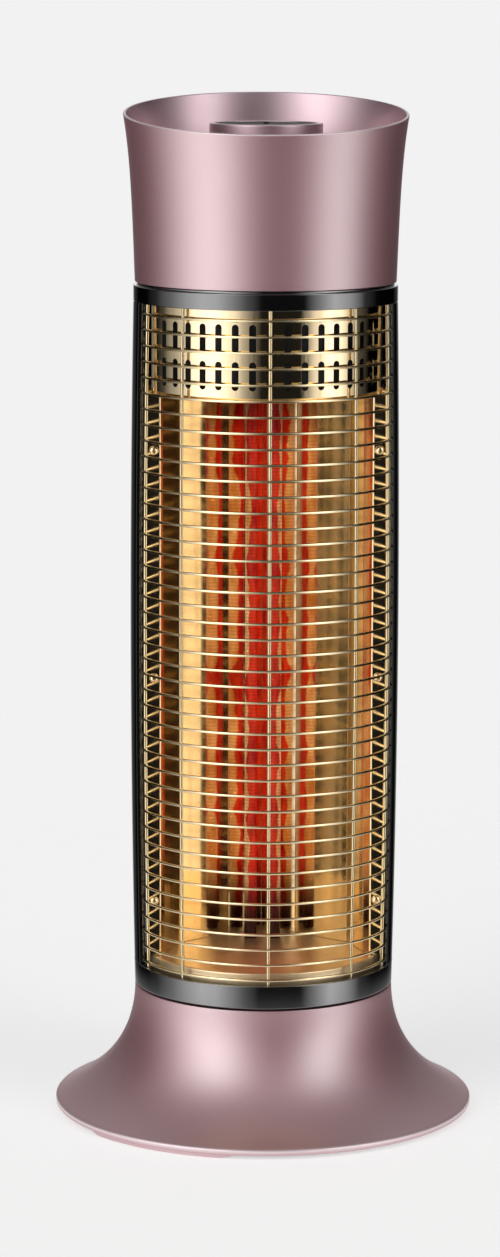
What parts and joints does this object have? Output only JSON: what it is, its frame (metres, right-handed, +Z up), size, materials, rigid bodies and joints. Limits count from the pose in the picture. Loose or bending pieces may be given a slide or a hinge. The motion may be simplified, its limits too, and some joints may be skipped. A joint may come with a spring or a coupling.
{
  "type": "carbon heater",
  "caption": "Free-standing electric heater: flared round base, swivelling tower with a wire guard, folded gold mirror and glowing carbon tubes, and a cup-shaped head with a control dial.",
  "frame": {"origin": "on the floor under the middle of the round base", "axes": "+Z up along the tower, -Y out of the window with the guard, +X to the right of someone who faces the window"},
  "size_m": [0.28, 0.28, 0.6751],
  "materials": {
    "rose_metal": "satin metallic rose",
    "gloss_black": "high gloss black",
    "gold_mirror": "gold mirror",
    "brass_wire": "bright pale gold plating",
    "zinc_steel": "zinc plated",
    "matt_black": "matt black",
    "ceramic": "unglazed ceramic",
    "rubber": "matt",
    "quartz_glass": "clear",
    "carbon": "glowing strip"
  },
  "bodies": {
    "base": {"base_shell": "rose_metal", "base_plate": "matt_black", "ballast_plate": "zinc_steel", "foot_pad_1": "rubber", "foot_pad_2": "rubber", "foot_pad_3": "rubber", "foot_pad_4": "rubber", "foot_pad_5": "rubber", "base_screw_1": "zinc_steel", "base_screw_2": "zinc_steel", "base_screw_3": "zinc_steel", "cord_gland": "matt_black", "swing_motor": "zinc_steel", "swivel_bearing": "ceramic", "tip_switch_body": "matt_black", "tip_spring": "zinc_steel"},
    "tip_plunger": {"tip_plunger": "ceramic"},
    "tower": {"head_shell": "rose_metal", "control_tray": "rose_metal", "lower_ring": "gloss_black", "upper_ring": "gloss_black", "rear_cover": "gloss_black", "floor_pan": "gold_mirror", "reflector": "gold_mirror", "slotted_collar": "gold_mirror", "flange_screw_1": "gold_mirror", "flange_screw_2": "gold_mirror", "flange_screw_3": "gold_mirror", "flange_screw_4": "gold_mirror", "flange_screw_5": "gold_mirror", "flange_screw_6": "gold_mirror", "wire_guard": "brass_wire", "drive_shaft": "zinc_steel", "lower_deck": "zinc_steel", "rail_left": "zinc_steel", "rail_right": "zinc_steel", "upper_deck": "zinc_steel", "turntable": "matt_black", "terminal_pan": "matt_black", "rotary_switch": "matt_black", "thermal_cutout": "matt_black", "terminal_block": "ceramic", "tube_cap_1": "ceramic", "tube_cap_2": "ceramic", "tube_cap_3": "ceramic", "tube_cap_4": "ceramic", "glass_tube_left": "quartz_glass", "glass_tube_right": "quartz_glass", "carbon_element_left": "carbon", "carbon_element_right": "carbon"},
    "dial": {"dial": "rose_metal", "dial_inlay": "gloss_black", "dial_shaft": "zinc_steel"}
  },
  "joints": [
    {"name": "tower_swivel", "type": "hinge", "parent": "base", "child": "tower", "pos_m": [0, 0, 0.085], "axis": [0, 0, 1], "range_deg": [-35, 35]},
    {"name": "dial_turn", "type": "hinge", "parent": "tower", "child": "dial", "pos_m": [0, 0, 0.64], "axis": [0, 0, 1], "range_deg": [-270, 0]},
    {"name": "tip_plunger_slide", "type": "slide", "parent": "base", "child": "tip_plunger", "axis": [0, 0, 1], "range_m": [-0.004, 0], "stiffness_N_per_m": 150, "springref_m": -0.012, "deforming": ["tip_spring"]}
  ]
}
